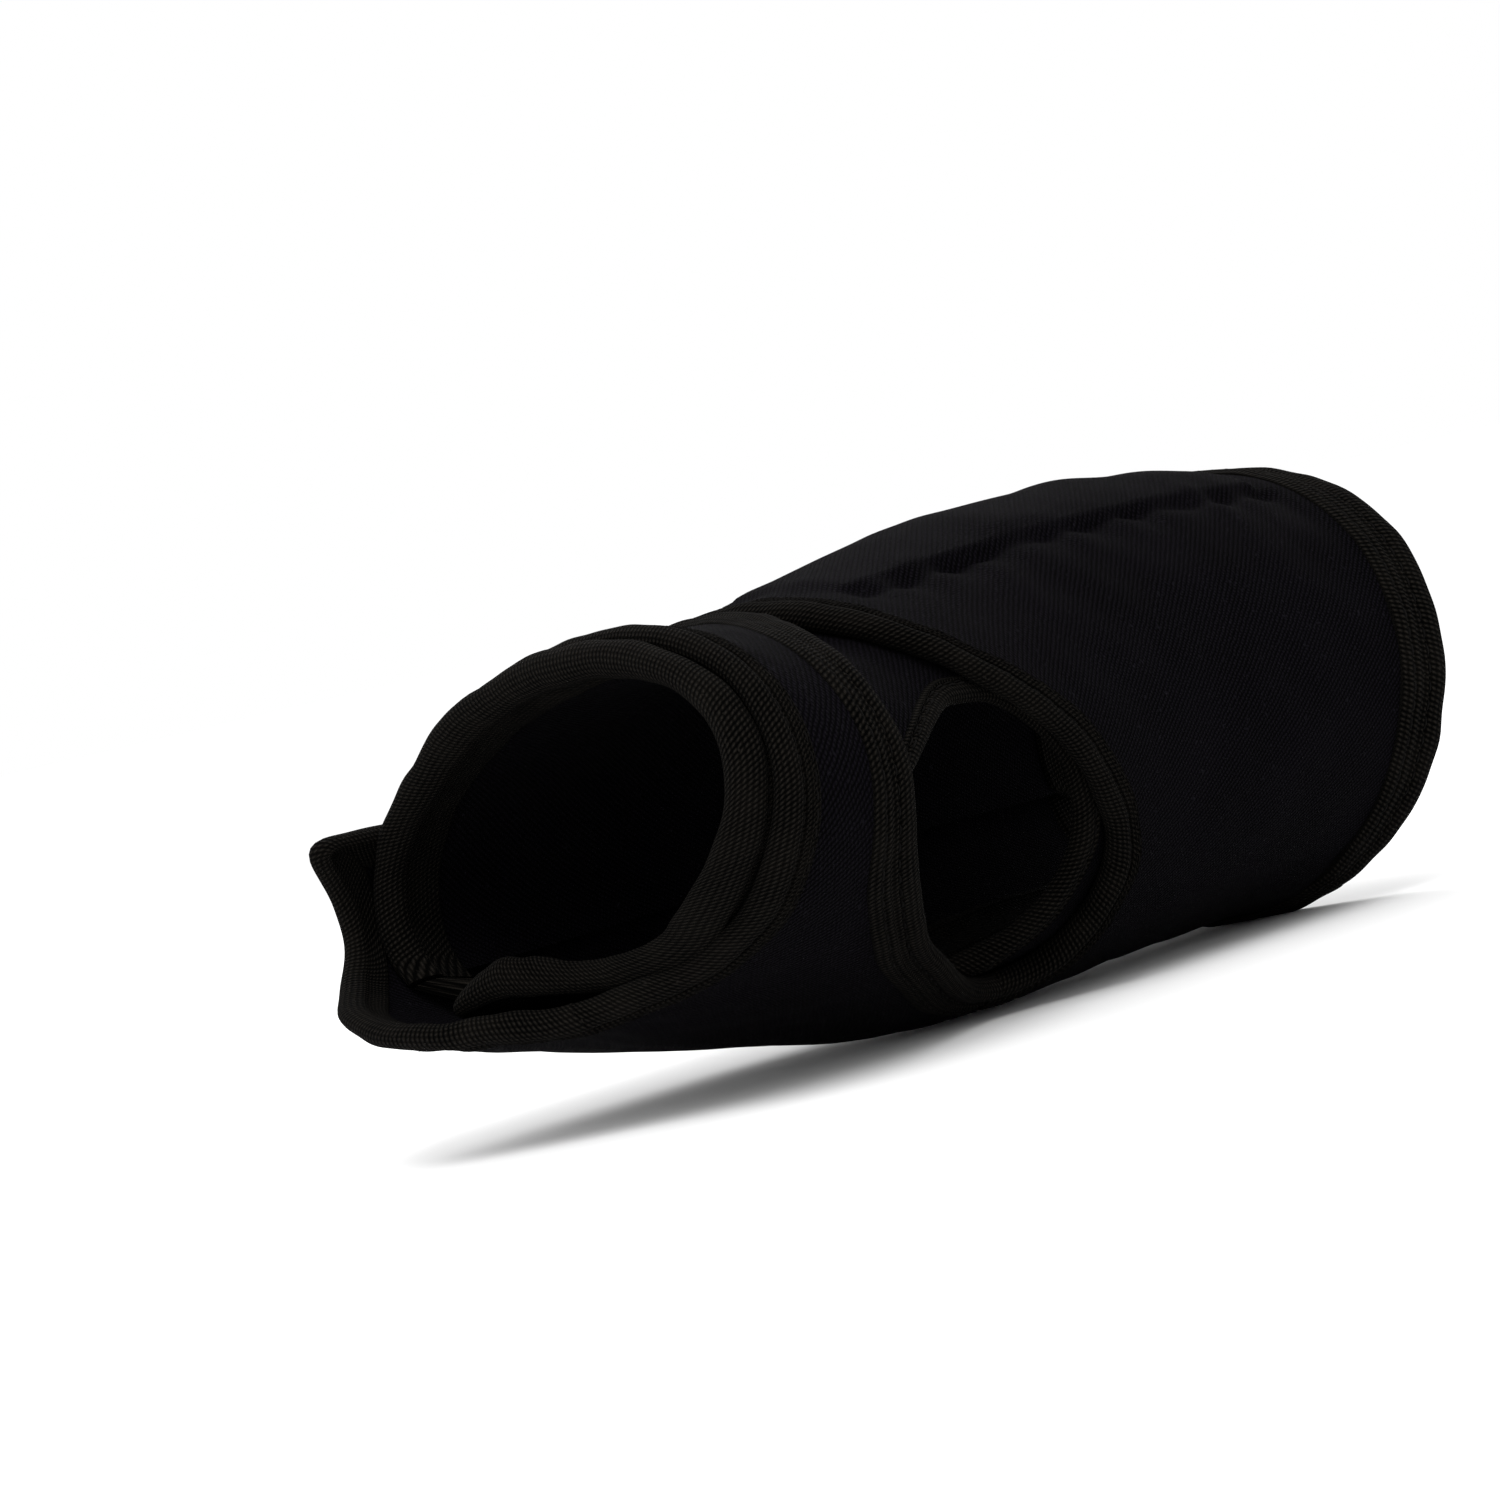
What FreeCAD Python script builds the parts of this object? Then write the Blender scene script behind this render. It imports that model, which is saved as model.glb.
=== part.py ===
"""Wrist support brace for the right hand, worn size, as a parametric FreeCAD document.

Frame, in millimetres: +X runs up the forearm, -Y is the thumb side, +Z is the back of the
hand, and the origin lies on the arm's axis at the wrist. Every layer of the brace is a shell
between two lofted hulls that follow the arm, and every edge is bound with a folded tape.
Angles round the arm count from the thumb side (-Y) towards the back of the hand (+Z).
"""
import FreeCAD
import Part
import Sketcher
import math
import os

DIMENSIONS = {
    # Sections of the arm: place along X, half width, half depth, centre and roll.
    "knuckle_x": -92, "knuckle_width": 39.5, "knuckle_depth": 18.7,
    "knuckle_y": -3.3, "knuckle_z": 12.8, "knuckle_roll": -10,
    "palm_x": -45, "palm_width": 41, "palm_depth": 21.6,
    "palm_y": -2.1, "palm_z": 3.3, "palm_roll": -8.8,
    "wrist_x": -5, "wrist_width": 34.1, "wrist_depth": 27.3,
    "wrist_y": -0.8, "wrist_z": 2.4, "wrist_roll": -6,
    "forearm_x": 40, "forearm_width": 31.3, "forearm_depth": 28.2,
    "forearm_y": 0.3, "forearm_z": 4.6, "forearm_roll": -5.5,
    "elbow_x": 92, "elbow_width": 33.9, "elbow_depth": 27.1,
    "elbow_y": 0.5, "elbow_z": 0.8, "elbow_roll": -6.3,
    # Layers: distance from the skin to each face.
    "inner_tape_bottom": 0, "inner_bottom": 0.4, "inner_top": 2.6, "inner_tape_top": 3.2,
    "hook_bottom": 2.9, "outer_tape_bottom": 3.5, "outer_bottom": 3.9, "channel_floor": 4.5,
    "stay_bottom": 4.7, "stay_top": 5.9, "outer_top": 6.1, "outer_tape_top": 6.7,
    "pocket_top": 6.9,
    # Folded edge tape: how far it stands past the cloth, and how far it covers it.
    "tape_past": 1, "tape_cover": 6, "thumb_tape_cover": 4, "tape_past_angle": 1.6,
    "tape_cover_angle": 9,
    # Rims at the fingers and up the forearm: planes leaning by these angles.
    "inner_rim_x": -70, "outer_rim_x": -65.3, "rim_lean": -8.6,
    "inner_cuff_x": 77.5, "outer_cuff_x": 80.7, "cuff_yaw": -1.5, "cuff_pitch": 8.9,
    # Angles round the arm at which the outer layer is divided and ends.
    "hand_hinge_angle": -13, "cuff_hinge_angle": -28, "hinge_gap_angle": 0.5,
    "ulnar_edge_angle": 160, "hand_end_angle": 110, "cuff_end_angle": 112,
    "palm_split_x": -15, "inner_split_z": -9,
    # Hole for the thumb in the inner layer, seen along the thumb.
    "thumb_tilt": 25, "thumb_x": -26, "thumb_up": 6, "thumb_radius": 24.5, "cut_depth": 22,
    "hole_depth": 14, "crest_height": 14,
    # Pocket over the back of the wrist, its stay, and the hook patches.
    "pocket_from": -24, "pocket_to": 74, "pocket_low": 56, "pocket_high": 97,
    "stay_from": -20, "stay_to": 68, "stay_low": 62, "stay_high": 90, "stay_room": 1.5,
    "cap_length": 7, "patch_from": -26, "patch_to": 72, "patch_low": 70, "patch_high": 100,
    "hand_patch_from": -57, "hand_patch_to": -45, "hand_patch_low": 64, "hand_patch_high": 98,
    "lap_from": -56, "lap_to": 68, "lap_low": 171, "lap_high": 188,
    # Reach of the cutting tools, larger than the brace.
    "reach": 120,
}

SECTIONS = ("knuckle", "palm", "wrist", "forearm", "elbow")
SEAM_TURN = {"little_finger": 0, "thumb": 180}

# Thumb opening of the outer layer seen along the thumb: corner and the radius of the edge
# that follows it. A positive radius bulges to the left of the way round, 0 is straight.
THUMB_OPENING = {
    "crown_hand": (-47.5, 46, 0), "crest_hand": (-48.6, 39.3, -26.7), "web": (-48.5, 16, -61.7),
    "heel": (-7.7, -18, -15.4), "pulse": (4.5, 0, -50.9), "crest_cuff": (-26, 35, 0),
    "peak_cuff": (-33, 39, 0), "crown_cuff": (-34, 46, 0),
}
# The same opening seen from above: it narrows to the slit between the two flaps.
CREST_OPENING = {
    "crest_out_hand": (-51.2, -62, 0), "crest_web": (-51.2, -48, 135),
    "slit_hand": (-37.5, -14, 0), "slit_hand_far": (-37.5, 27, 0),
    "slit_cuff_far": (-33.3, 27, 0), "slit_cuff": (-33.3, -24, -17.5),
    "crest_pulse": (-15, -43.5, 0), "crest_out_cuff": (-15, -62, 0),
}
# What is cut off beyond the fingers' edge of the palm panel, seen from above.
PALM_TRIM = {
    "trim_corner": (-71, -70, 0), "trim_thumb": (-71, -25, 0), "trim_bulge": (-83.5, 6, 27.5),
    "trim_ulnar": (-63, 45, 0), "trim_side": (-63, 70, 0), "trim_out_ulnar": (-130, 70, 0),
    "trim_out_thumb": (-130, -70, 0),
}
# What is cut off beyond the free end of the inner layer in the palm, seen from above.
FREE_END_TRIM = {
    "free_corner": (-75.5, -70, 0), "free_thumb": (-75.5, -33, 0), "free_turn": (-80.5, 3, -16),
    "free_round": (-67, 19, 0), "free_cuff": (130, 19, 0), "free_side": (130, 70, 0),
    "free_out_ulnar": (-130, 70, 0), "free_out_thumb": (-130, -70, 0),
}

doc = FreeCAD.newDocument("WristSupportBrace")
sheet = doc.addObject("Spreadsheet::Sheet", "Dims")
row = 0


def set_cell(alias, value):
    """Writes one named number to the sheet."""
    global row
    row += 1
    sheet.set(f"A{row}", alias)
    sheet.set(f"B{row}", str(value))
    sheet.setAlias(f"B{row}", alias)


def bind(item, **expressions):
    """Binds properties of an object to expressions of the sheet's cells."""
    for name, expression in expressions.items():
        item.setExpression(name, expression)
    return item


def hull(face, seam):
    """The solid that a layer's face encloses, lofted through the arm's sections.

    The loft's seam runs along the side that is asked for, clear of the piece that uses it.
    """
    rings = []
    for section in SECTIONS:
        cell = f"Dims.{section}_"
        ring = doc.addObject("Part::Ellipse", f"{section}_{face}_{seam}")
        centre = f"vector({cell}x; {cell}y; {cell}z)"
        turn = f"rotation(0; 0; {cell}roll + {SEAM_TURN[seam]})"
        rings.append(bind(
            ring,
            MajorRadius=f"{cell}width + Dims.{face}",
            MinorRadius=f"{cell}depth + Dims.{face}",
            Placement=f"placement({centre}; {turn} * rotation(90; 0; 90))"))
    loft = doc.addObject("Part::Loft", f"hull_{face}_{seam}")
    loft.Sections = rings
    loft.Solid = True
    return loft


def joined(name, pieces):
    """The union of several solids."""
    fuse = doc.addObject("Part::MultiFuse", name)
    fuse.Shapes = pieces
    return fuse


def shared(name, pieces):
    """What several solids have in common."""
    common = doc.addObject("Part::MultiCommon", name)
    common.Shapes = pieces
    return common


def without(name, base, *tools):
    """A solid less the tools, taken away one after another."""
    for count, tool in enumerate(tools, start=1):
        cut = doc.addObject("Part::Cut", name if count == len(tools) else f"{name}_step_{count}")
        cut.Base = base
        cut.Tool = tool
        base = cut
    return base


def shell(name, bottom, top, seam="little_finger"):
    """The layer between two of the hulls."""
    for face in (bottom, top):
        if (face, seam) not in hulls:
            hulls[face, seam] = hull(face, seam)
    return without(name, hulls[top, seam], hulls[bottom, seam])


def sector(name, low, high, start="-Dims.reach", end="Dims.reach"):
    """A wedge round the arm between two angles, from start to end along X."""
    wedge = doc.addObject("Part::Cylinder", name)
    return bind(
        wedge, Radius="Dims.reach", Height=f"({end}) - ({start})", Angle=f"({high}) - ({low})",
        Placement=f"placement(vector({end}; 0; 0); rotation(-90; 0; 90) * rotation({low}; 0; 0))")


def leaning_box(name, low, high, yaw, pitch="0"):
    """A tall slab from low to high along X whose faces lean by yaw and pitch."""
    box = doc.addObject("Part::Box", name)
    centre = f"placement(vector({low}; 0; 0); rotation({yaw}; {pitch}; 0))"
    corner = "placement(vector(0; -Dims.reach; -Dims.reach); rotation(0; 0; 0))"
    return bind(box, Length=f"({high}) - ({low})", Width="2 * Dims.reach",
                Height="2 * Dims.reach", Placement=f"{centre} * {corner}")


def level_box(name, low, high):
    """Everything between two heights."""
    box = doc.addObject("Part::Box", name)
    return bind(box, Length="2 * Dims.reach", Width="2 * Dims.reach",
                Height=f"({high}) - ({low})",
                Placement=f"placement(vector(-Dims.reach; -Dims.reach; {low}); rotation(0; 0; 0))")


def side_half(name, low, high):
    """Everything between two places across the arm, from the thumb side outwards."""
    box = doc.addObject("Part::Box", name)
    return bind(box, Length="2 * Dims.reach", Width=f"({high}) - ({low})",
                Height="2 * Dims.reach",
                Placement=f"placement(vector(-Dims.reach; {low}; -Dims.reach); rotation(0; 0; 0))")


def edge_curve(start, end, radius):
    """A straight edge, or an arc whose bulge lies left of the way for a positive radius."""
    first = FreeCAD.Vector(*start, 0)
    last = FreeCAD.Vector(*end, 0)
    if radius == 0:
        return Part.LineSegment(first, last)
    chord = last - first
    left = FreeCAD.Vector(-chord.y, chord.x, 0).normalize()
    rise = abs(radius) - math.sqrt(radius ** 2 - (chord.Length / 2) ** 2)
    middle = (first + last) * 0.5 + left * math.copysign(rise, radius)
    return Part.Arc(first, middle, last)


def outline(name, corners):
    """A closed sketch through named corners, each held by two cells and each arc by a third."""
    sketch = doc.addObject("Sketcher::SketchObject", name)
    names = list(corners)
    for index, corner in enumerate(names):
        x, y, radius = corners[corner]
        following = corners[names[(index + 1) % len(names)]][:2]
        sketch.addGeometry(edge_curve((x, y), following, radius), False)
    for index, corner in enumerate(names):
        x, y, radius = corners[corner]
        start_end = first_end(radius)
        next_edge = (index + 1) % len(names)
        sketch.addConstraint(Sketcher.Constraint(
            "Coincident", index, 3 - start_end, next_edge, first_end(corners[names[next_edge]][2])))
        set_cell(f"{corner}_across", x)
        set_cell(f"{corner}_along", y)
        hold(sketch, "DistanceX", (-1, 1, index, start_end), x, f"Dims.{corner}_across")
        hold(sketch, "DistanceY", (-1, 1, index, start_end), y, f"Dims.{corner}_along")
        if radius:
            set_cell(f"{corner}_radius", abs(radius))
            hold(sketch, "Radius", (index,), abs(radius), f"Dims.{corner}_radius")
    return sketch


def first_end(radius):
    """The end, 1 or 2, an edge starts from: a sketch counts a clockwise arc's ends backwards."""
    return 2 if radius > 0 else 1


def hold(sketch, kind, where, value, expression):
    """Adds a constraint whose value is bound to a cell."""
    number = sketch.addConstraint(Sketcher.Constraint(kind, *where, value))
    sketch.setExpression(f"Constraints[{number}]", expression)


def prism(name, sketch, grow, length, placement):
    """The solid of a sketch, grown sideways and raised to a length, then placed."""
    base = sketch
    if grow:
        base = doc.addObject("Part::Offset2D", f"{name}_outline")
        base.Source = sketch
        bind(base, Value=grow)
    solid = doc.addObject("Part::Extrusion", name)
    solid.Base = base
    solid.DirMode = "Custom"
    solid.Dir = FreeCAD.Vector(0, 0, 1)
    solid.Solid = True
    return bind(solid, LengthFwd=length, Placement=placement)


def thumb_opening(name, grow):
    """The outer layer's thumb opening and the slit between the flaps, grown sideways."""
    along_thumb = "placement(vector(0; 0; 0); rotation(0; 0; 90 + Dims.thumb_tilt))"
    inward = "placement(vector(0; 0; Dims.cut_depth); rotation(0; 0; 0))"
    side = prism(f"{name}_side", thumb_sketch, grow, "Dims.reach", f"{along_thumb} * {inward}")
    above = "placement(vector(0; 0; Dims.crest_height); rotation(0; 0; 0))"
    crest = prism(f"{name}_crest", crest_sketch, grow, "Dims.reach", above)
    return joined(name, [side, crest])


def thumb_hole(name, grow):
    """The inner layer's thumb hole, grown sideways."""
    hole = doc.addObject("Part::Cylinder", name)
    along_thumb = "placement(vector(0; 0; 0); rotation(0; 0; 90 + Dims.thumb_tilt))"
    centre = "vector(Dims.thumb_x; Dims.thumb_up; Dims.hole_depth)"
    return bind(hole, Radius=f"Dims.thumb_radius + {grow}", Height="Dims.reach",
                Placement=f"{along_thumb} * placement({centre}; rotation(0; 0; 0))")


def palm_prism(name, sketch, grow, top):
    """A palm trim seen from above, from below the brace up to a height."""
    return prism(name, sketch, grow, f"Dims.reach + {top}",
                 "placement(vector(0; 0; -Dims.reach); rotation(0; 0; 0))")


def piece(node, base):
    """Names a finished piece, which becomes one file."""
    base.Label = node
    nodes.append(base)
    return base


for alias, value in DIMENSIONS.items():
    set_cell(alias, value)
nodes = []
thumb_sketch = outline("thumb_opening_sketch", THUMB_OPENING)
crest_sketch = outline("crest_opening_sketch", CREST_OPENING)
palm_sketch = outline("palm_trim_sketch", PALM_TRIM)
free_sketch = outline("free_end_sketch", FREE_END_TRIM)
doc.recompute()

hulls = {}
PAST = "Dims.tape_past"
COVER = "Dims.tape_cover"
BELOW_SPLIT = "Dims.inner_split_z"

# Inner layer: over the back of the hand and the thumb side to its free end in the palm.
upper_half = level_box("upper_half", BELOW_SPLIT, "Dims.reach")
inner_rim_cut = leaning_box(
    "inner_rim_cut", "Dims.inner_rim_x - Dims.reach", "Dims.inner_rim_x", "Dims.rim_lean")
inner_rim_past = leaning_box(
    "inner_rim_past", "Dims.inner_rim_x - Dims.reach", f"Dims.inner_rim_x - {PAST}",
    "Dims.rim_lean")
inner_rim_zone = leaning_box(
    "inner_rim_zone", f"Dims.inner_rim_x - {PAST}", f"Dims.inner_rim_x + {COVER}",
    "Dims.rim_lean")
inner_cuff_cut = leaning_box(
    "inner_cuff_cut", "Dims.inner_cuff_x", "Dims.reach", "Dims.cuff_yaw", "Dims.cuff_pitch")
inner_cuff_past = leaning_box(
    "inner_cuff_past", f"Dims.inner_cuff_x + {PAST}", "Dims.reach", "Dims.cuff_yaw",
    "Dims.cuff_pitch")
inner_cuff_zone = leaning_box(
    "inner_cuff_zone", f"Dims.inner_cuff_x - {COVER}", f"Dims.inner_cuff_x + {PAST}",
    "Dims.cuff_yaw", "Dims.cuff_pitch")
free_cut = palm_prism("free_end_cut", free_sketch, None, BELOW_SPLIT)
free_past = palm_prism("free_end_past", free_sketch, f"-{PAST}", BELOW_SPLIT)
free_zone = palm_prism("free_end_zone", free_sketch, COVER, BELOW_SPLIT)
thumb_cut = thumb_hole("thumb_hole_cut", "0")
thumb_past = thumb_hole("thumb_hole_past", f"(-{PAST})")
thumb_zone = thumb_hole("thumb_hole_zone", "Dims.thumb_tape_cover")
inner_wrap = piece("inner_wrap", without(
    "inner_wrap_body", shell("inner_cloth", "inner_bottom", "inner_top"),
    shared("inner_rim_trim", [inner_rim_cut, upper_half]), inner_cuff_cut, free_cut, thumb_cut))
inner_tape = without(
    "inner_tape", shell("inner_tape_layer", "inner_tape_bottom", "inner_tape_top"),
    shared("inner_rim_trim_past", [inner_rim_past, upper_half]), inner_cuff_past, free_past,
    thumb_past, inner_wrap)
# The two tapes that run right round are made as halves, so that neither crosses a seam.
far_half = side_half("far_half", "0", "Dims.reach")
near_half = side_half("near_half", "-Dims.reach", "0")
far_cloth = without(
    "far_cloth", shared("far_cloth_half", [
        shell("far_cloth_layer", "inner_bottom", "inner_top", "thumb"), far_half]),
    shared("far_rim_trim", [inner_rim_cut, upper_half]), inner_cuff_cut, free_cut)
far_tape = without(
    "far_tape", shared("far_tape_half", [
        shell("far_tape_layer", "inner_tape_bottom", "inner_tape_top", "thumb"), far_half]),
    shared("far_rim_trim_past", [inner_rim_past, upper_half]), inner_cuff_past, free_past,
    far_cloth)
piece("inner_rim_binding", joined("inner_rim_tape", [
    shared("inner_rim_near", [inner_tape, inner_rim_zone, upper_half, near_half]),
    shared("inner_rim_far", [far_tape, inner_rim_zone, upper_half])]))
piece("palm_end_binding", shared("palm_end_tape", [inner_tape, free_zone]))
piece("inner_cuff_binding", without("inner_cuff_tape", joined("inner_cuff_tape_whole", [
    shared("inner_cuff_near", [inner_tape, inner_cuff_zone, near_half]),
    shared("inner_cuff_far", [far_tape, inner_cuff_zone])]), free_zone))
piece("thumb_hole_binding", without(
    "thumb_hole_tape", shared("thumb_hole_tape_whole", [inner_tape, thumb_zone]), free_zone))

# Outer layer: palm panel, hand flap and cuff flap.
outer_rim_cut = leaning_box(
    "outer_rim_cut", "Dims.outer_rim_x - Dims.reach", "Dims.outer_rim_x", "Dims.rim_lean")
outer_rim_past = leaning_box(
    "outer_rim_past", "Dims.outer_rim_x - Dims.reach", f"Dims.outer_rim_x - {PAST}",
    "Dims.rim_lean")
outer_rim_zone = leaning_box(
    "outer_rim_zone", f"Dims.outer_rim_x - {PAST}", f"Dims.outer_rim_x + {COVER}",
    "Dims.rim_lean")
outer_cuff_cut = leaning_box(
    "outer_cuff_cut", "Dims.outer_cuff_x", "Dims.reach", "Dims.cuff_yaw", "Dims.cuff_pitch")
outer_cuff_past = leaning_box(
    "outer_cuff_past", f"Dims.outer_cuff_x + {PAST}", "Dims.reach", "Dims.cuff_yaw",
    "Dims.cuff_pitch")
outer_cuff_zone = leaning_box(
    "outer_cuff_zone", f"Dims.outer_cuff_x - {COVER}", f"Dims.outer_cuff_x + {PAST}",
    "Dims.cuff_yaw", "Dims.cuff_pitch")
opening_cut = thumb_opening("opening_cut", None)
opening_past = thumb_opening("opening_past", f"-{PAST}")
opening_zone = thumb_opening("opening_zone", COVER)
outer_cloth = shell("outer_cloth", "outer_bottom", "outer_top")
outer_tape_layer = shell("outer_tape_layer", "outer_tape_bottom", "outer_tape_top")
palm_cloth = shell("palm_cloth", "outer_bottom", "outer_top", "thumb")
palm_tape_layer = shell("palm_tape_layer", "outer_tape_bottom", "outer_tape_top", "thumb")

# Palm panel: from the lap on the little-finger side across the palm to the two hinge lines.
palm_cut = palm_prism("palm_cut", palm_sketch, None, "Dims.reach")
palm_past = palm_prism("palm_past", palm_sketch, f"-{PAST}", "Dims.reach")
palm_zone = palm_prism("palm_zone", palm_sketch, COVER, "Dims.reach")


def palm_sweep(name, low):
    """The palm panel's sweep round the arm from the lap's edge to both hinge lines."""
    hand = sector(f"{name}_hand", low, "Dims.hand_hinge_angle - Dims.hinge_gap_angle",
                  "-Dims.reach", "Dims.palm_split_x")
    cuff = sector(f"{name}_cuff", low, "Dims.cuff_hinge_angle - Dims.hinge_gap_angle",
                  "Dims.palm_split_x", "Dims.reach")
    return joined(name, [hand, cuff])


LAP_EDGE = "(Dims.ulnar_edge_angle - 360)"
palmar_panel = piece("palmar_panel", without(
    "palm_body", shared("palm_sheet", [palm_cloth, palm_sweep("palm_sweep", LAP_EDGE)]),
    palm_cut, outer_cuff_cut, opening_cut))
palm_tape = without(
    "palm_tape", shared("palm_tape_sheet", [palm_tape_layer, palm_sweep(
        "palm_tape_sweep", f"({LAP_EDGE} - Dims.tape_past_angle)")]),
    palm_past, outer_cuff_past, opening_past, palmar_panel)
piece("palm_rim_binding", shared("palm_rim_tape", [palm_tape, palm_zone]))
piece("palm_cuff_binding", shared("palm_cuff_tape", [palm_tape, outer_cuff_zone]))
piece("palm_thumb_binding", without(
    "palm_thumb_tape", shared("palm_thumb_tape_whole", [palm_tape, opening_zone]), palm_zone))
piece("ulnar_edge_binding", without(
    "ulnar_edge_tape", shared("ulnar_edge_tape_whole", [palm_tape, sector(
        "ulnar_edge_zone", f"({LAP_EDGE} - 2 * Dims.tape_past_angle)",
        f"({LAP_EDGE} + Dims.tape_cover_angle)")]), palm_zone, outer_cuff_zone))
piece("ulnar_seam_tape", shared("ulnar_seam", [
    shell("ulnar_seam_layer", "inner_top", "outer_bottom", "thumb"),
    sector("ulnar_seam_zone", "Dims.lap_low", "Dims.lap_high", "Dims.lap_from", "Dims.lap_to")]))


def flap(name, start, end, rim_cut, rim_past):
    """A flap of the outer layer and the tape that folds over its edges."""
    low = f"{start} + Dims.hinge_gap_angle"
    cloth = without(
        f"{name}_cloth", shared(f"{name}_sheet", [outer_cloth, sector(
            f"{name}_sweep", low, end)]), rim_cut, opening_cut)
    tape = without(
        f"{name}_tape", shared(f"{name}_tape_sheet", [outer_tape_layer, sector(
            f"{name}_tape_sweep", low, f"{end} + Dims.tape_past_angle")]),
        rim_past, opening_past, cloth)
    end_zone = sector(f"{name}_end_zone", f"{end} - Dims.tape_cover_angle",
                      f"{end} + 2 * Dims.tape_past_angle")
    return cloth, tape, end_zone


# The slit divides the sweep in two: the hand flap lies before it, the cuff flap behind it.
before_slit = leaning_box("before_slit", "-Dims.reach", "Dims.slit_hand_across + 1", "0")
behind_slit = leaning_box("behind_slit", "Dims.slit_hand_across + 1", "Dims.reach", "0")
# Below the thumb the cuff flap starts only past the opening.
below_thumb = shared("below_thumb", [
    leaning_box("below_thumb_side", "-Dims.reach", "Dims.palm_split_x", "0"),
    level_box("below_thumb_level", "-Dims.reach", "0")])
cuff_side = without("cuff_side", behind_slit, below_thumb)

hand_cloth, hand_tape, hand_end_zone = flap(
    "hand", "Dims.hand_hinge_angle", "Dims.hand_end_angle", outer_rim_cut, outer_rim_past)
piece("hand_flap", shared("hand_flap_body", [hand_cloth, before_slit]))
piece("hand_rim_binding", shared("hand_rim_tape", [hand_tape, outer_rim_zone, before_slit]))
piece("hand_thumb_binding", without(
    "hand_thumb_tape", shared("hand_thumb_tape_whole", [hand_tape, opening_zone, before_slit]),
    outer_rim_zone))
piece("hand_end_binding", without(
    "hand_end_tape", shared("hand_end_tape_whole", [hand_tape, hand_end_zone, before_slit]),
    outer_rim_zone, opening_zone))
piece("hand_hook_patch", shared("hand_hook", [
    shell("hook_layer", "hook_bottom", "outer_bottom"),
    sector("hand_hook_zone", "Dims.hand_patch_low", "Dims.hand_patch_high",
           "Dims.hand_patch_from", "Dims.hand_patch_to")]))

cuff_cloth, cuff_tape, cuff_end_zone = flap(
    "cuff", "Dims.cuff_hinge_angle", "Dims.cuff_end_angle", outer_cuff_cut, outer_cuff_past)
channel = shared("stay_channel", [
    shell("channel_layer", "channel_floor", "outer_top"),
    sector("channel_zone", "Dims.stay_low - Dims.stay_room", "Dims.stay_high + Dims.stay_room",
           "Dims.stay_from - Dims.stay_room", "Dims.stay_to + Dims.stay_room")])
piece("cuff_flap", without(
    "cuff_flap_body", shared("cuff_flap_whole", [cuff_cloth, cuff_side]), channel))
piece("cuff_thumb_binding", shared("cuff_thumb_tape", [cuff_tape, opening_zone, cuff_side]))
piece("cuff_rim_binding", shared("cuff_rim_tape", [cuff_tape, outer_cuff_zone]))
piece("cuff_end_binding", without(
    "cuff_end_tape", shared("cuff_end_tape_whole", [cuff_tape, cuff_end_zone, cuff_side]),
    outer_cuff_zone, opening_zone))
piece("cuff_hook_patch", shared("cuff_hook", [
    shell("cuff_hook_layer", "hook_bottom", "outer_bottom"),
    sector("cuff_hook_zone", "Dims.patch_low", "Dims.patch_high", "Dims.patch_from",
           "Dims.patch_to")]))
piece("stay_pocket", shared("pocket_cover", [
    shell("pocket_layer", "outer_top", "pocket_top"),
    sector("pocket_zone", "Dims.pocket_low", "Dims.pocket_high", "Dims.pocket_from",
           "Dims.pocket_to")]))

# The stay: a curved bar with a soft cap on each end, closed in between flap and pocket.
stay_whole = shared("stay_whole", [
    shell("stay_layer", "stay_bottom", "stay_top"),
    sector("stay_zone", "Dims.stay_low", "Dims.stay_high", "Dims.stay_from", "Dims.stay_to")])
piece("stay_cap_hand", shared("stay_cap_hand_body", [stay_whole, leaning_box(
    "cap_hand_zone", "Dims.stay_from - 1", "Dims.stay_from + Dims.cap_length", "0")]))
piece("stay_cap_cuff", shared("stay_cap_cuff_body", [stay_whole, leaning_box(
    "cap_cuff_zone", "Dims.stay_to - Dims.cap_length", "Dims.stay_to + 1", "0")]))
piece("dorsal_stay", shared("stay_bar", [stay_whole, leaning_box(
    "bar_zone", "Dims.stay_from + Dims.cap_length", "Dims.stay_to - Dims.cap_length", "0")]))

doc.recompute()
broken = [item.Name for item in doc.Objects if "Invalid" in item.State or "Error" in item.State]
if broken:
    raise RuntimeError(f"objects that failed: {broken}")
os.makedirs("parts", exist_ok=True)
for item in nodes:
    shape = item.Shape
    if shape.isNull() or not shape.isValid() or not shape.Solids:
        raise RuntimeError(f"{item.Label} has no valid solid")
for item in nodes:
    item.Shape.exportStep(f"parts/{item.Label}.step")
    print(f"{item.Label:20s} {len(item.Shape.Solids)} solid, {item.Shape.Volume:8.1f} mm3")
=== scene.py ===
"""Looks of the wrist support brace: cloth, edge tapes, stitching and pocket, in metres.

The brace lies round one lofted surface that follows the arm. A place on it is given by x along
the arm and by a polar angle round it in degrees (0 thumb side, 90 back of the hand, -90 palm),
with a height above the skin, all in millimetres until a mesh is made.
"""
import math

import bmesh
import bpy
import numpy as np
from mathutils import Matrix, Vector


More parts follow.
